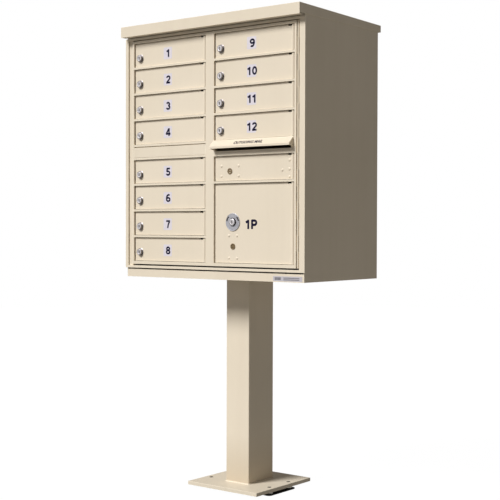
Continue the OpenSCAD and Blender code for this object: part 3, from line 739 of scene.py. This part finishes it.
def weld_bead(name, width, depth, corner, z, size, up, body):
    """A rippled fillet weld round a rectangular tube that meets a plate at height z."""
    path = []
    for side, (nx, ny) in enumerate(((0, -1), (1, 0), (0, 1), (-1, 0))):
        along = (-ny, nx)
        length = (width if side % 2 == 0 else depth) - 2 * corner
        reach = (depth if side % 2 == 0 else width) / 2
        count = int(length / RIPPLE)
        for i in range(count):
            t = -length / 2 + length * i / count
            path.append((nx * reach + along[0] * t, ny * reach + along[1] * t, nx, ny))
        for i in range(3):
            a = math.atan2(ny, nx) + math.radians(30 * i)
            mx = nx * (reach - corner) + along[0] * length / 2
            my = ny * (reach - corner) + along[1] * length / 2
            path.append((mx + corner * math.cos(a), my + corner * math.sin(a), math.cos(a), math.sin(a)))
    bm = bmesh.new()
    rings = []
    for i, (x, y, nx, ny) in enumerate(path):
        # Two sines of different lengths make the ripples uneven
        swell = size * (1 + 0.16 * math.sin(i * 1.9) + 0.07 * math.sin(i * 0.7))
        section = ((-0.3, 0), (swell, 0), (0.62 * swell, 0.62 * swell), (-0.3, swell))
        rings.append([bm.verts.new(((x + nx * r) * MM, (y + ny * r) * MM, (z + up * h) * MM))
                      for r, h in section])
    for a, b in zip(rings, rings[1:] + rings[:1]):
        for k in range(4):
            bm.faces.new((a[k], a[(k + 1) % 4], b[(k + 1) % 4], b[k]))
    bmesh.ops.recalc_face_normals(bm, faces=bm.faces)
    return piece_from(name, bm, "cabinet_paint", body)


tube_low, tube_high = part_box("pedestal_tube")
tube_w = (tube_high.x - tube_low.x) / MM
tube_d = (tube_high.y - tube_low.y) / MM
TUBE_CORNER = 3
BEAD_SIZE = 3.2
weld_bead("base_weld", tube_w, tube_d, TUBE_CORNER, tube_low.z / MM, BEAD_SIZE, 1, "cabinet")
weld_bead("head_weld", tube_w, tube_d, TUBE_CORNER, tube_high.z / MM, BEAD_SIZE, -1, "cabinet")

# Rivets up both edges of the back panel and in a row along its bottom and top
RIVET_PITCH = 112 * MM
RIVET_INSET = 12 * MM
back_low, back_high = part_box("back_panel")
rivets = [(side * (back_high.x - RIVET_INSET), back_high.y, back_low.z + 35 * MM + i * RIVET_PITCH)
          for side in (-1, 1) for i in range(8)]
rivets += [((i - 2.5) * RIVET_PITCH, back_high.y, back_low.z + up * MM)
           for i in range(6) for up in (17, 833)]
domes("back_rivets", rivets, BACK_HEAD, "cabinet_paint", "cabinet", axis=(0, -1, 0))

# ------------------------------------------------------------------ floor, light, camera


FLOOR_R = 9.0
FLOOR_GLOW = 1.07
WHITE = (1.0, 1.0, 1.0, 1.0)


def stage_material(name, seen, seen_mix, colour):
    """A pale stage surface that the camera sees bright and the object sees as a dim neutral floor."""
    made = bpy.data.materials.new(name)
    made.use_nodes = True
    tree = made.node_tree
    tree.nodes.clear()
    path = add(tree, "ShaderNodeLightPath").outputs["Is Camera Ray"]
    glow = add(tree, "ShaderNodeEmission", {"Color": seen, "Strength": FLOOR_GLOW}).outputs[0]
    plain = add(tree, "ShaderNodeBsdfDiffuse", {"Color": colour}).outputs[0]
    mostly = add(tree, "ShaderNodeMixShader", {0: seen_mix, 1: plain, 2: glow}).outputs[0]
    lit = add(tree, "ShaderNodeMixShader", {0: path, 1: plain, 2: mostly}).outputs[0]
    clear = add(tree, "ShaderNodeBsdfTransparent").outputs[0]
    behind = add(tree, "ShaderNodeNewGeometry").outputs["Backfacing"]
    whole = add(tree, "ShaderNodeMixShader", {0: behind, 1: lit, 2: clear}).outputs[0]
    add(tree, "ShaderNodeOutputMaterial", {"Surface": whole})
    return made


bm = bmesh.new()
bmesh.ops.create_circle(bm, cap_ends=True, segments=96, radius=FLOOR_R)
floor_mesh = bpy.data.meshes.new("floor")
bm.to_mesh(floor_mesh)
bm.free()
floor = bpy.data.objects.new("floor", floor_mesh)
floor.location.z = -0.5 * MM
floor_mesh.materials.append(stage_material("floor", WHITE, 0.93, (0.30, 0.29, 0.27, 1.0)))
bpy.context.scene.collection.objects.link(floor)

world = bpy.data.worlds.new("studio")
bpy.context.scene.world = world
world.use_nodes = True
sky = world.node_tree
sky.nodes.clear()
seen = add(sky, "ShaderNodeLightPath").outputs["Is Camera Ray"]
# The camera sees a white backdrop, and the object gets a warm, dim fill from all round
FILL = (1.0, 0.955, 0.90, 1.0)
FILL_STRENGTH = 0.183
backdrop = add(sky, "ShaderNodeBackground", {"Color": WHITE, "Strength": 1.0}).outputs[0]
fill = add(sky, "ShaderNodeBackground", {"Color": FILL, "Strength": FILL_STRENGTH}).outputs[0]
both = add(sky, "ShaderNodeMixShader", {0: seen, 1: fill, 2: backdrop}).outputs[0]
add(sky, "ShaderNodeOutputWorld", {"Surface": both})

# The key light comes from the front, a little left and high
KEY_AZIMUTH = math.radians(19)
KEY_ELEVATION = math.radians(43)
KEY_STRENGTH = 3.65
KEY_SPREAD = math.radians(20)
towards_key = Vector((-math.sin(KEY_AZIMUTH) * math.cos(KEY_ELEVATION),
                      -math.cos(KEY_AZIMUTH) * math.cos(KEY_ELEVATION),
                      math.sin(KEY_ELEVATION)))
key = bpy.data.objects.new("key", bpy.data.lights.new("key", "SUN"))
key.data.energy = KEY_STRENGTH
key.data.angle = KEY_SPREAD
key.rotation_mode = "QUATERNION"
key.rotation_quaternion = towards_key.to_track_quat("Z", "Y")
bpy.context.scene.collection.objects.link(key)

# A softbox that acts only on gloss, aimed at the middle of the doors
SOFTBOX_AT = Vector((-2.6, -3.4, 1.5))
SOFTBOX_AIM = Vector((0, -0.2, 1.1))
SOFTBOX_W, SOFTBOX_H = 2.6, 2.2
SOFTBOX_ENERGY = 14.0
box = bpy.data.objects.new("softbox", bpy.data.lights.new("softbox", "AREA"))
box.data.shape = "RECTANGLE"
box.data.size = SOFTBOX_W
box.data.size_y = SOFTBOX_H
box.data.energy = SOFTBOX_ENERGY
box.location = SOFTBOX_AT
box.rotation_mode = "QUATERNION"
box.rotation_quaternion = (SOFTBOX_AT - SOFTBOX_AIM).to_track_quat("Z", "Y")
box.visible_diffuse = False
box.visible_camera = False
bpy.context.scene.collection.objects.link(box)

# The camera stands ahead and to the right, a little above the floor pan, and looks nearly level
CAMERA_AT = Vector((2.45572, -3.12247, 0.89841))
HEADING = 0.666597
DOWN = 0.019993
ROLL = 0.002505
camera = bpy.data.objects.new("camera", bpy.data.cameras.new("camera"))
camera.data.lens = 82.92
camera.data.sensor_width = 36.0
camera.data.clip_start = 0.05
camera.data.clip_end = 100.0
turn = (Matrix.Rotation(HEADING, 4, "Z") @ Matrix.Rotation(math.radians(90) - DOWN, 4, "X")
        @ Matrix.Rotation(ROLL, 4, "Z"))
camera.matrix_world = Matrix.Translation(CAMERA_AT) @ turn
bpy.context.scene.collection.objects.link(camera)
bpy.context.scene.camera = camera
bpy.context.scene.view_settings.view_transform = "Standard"
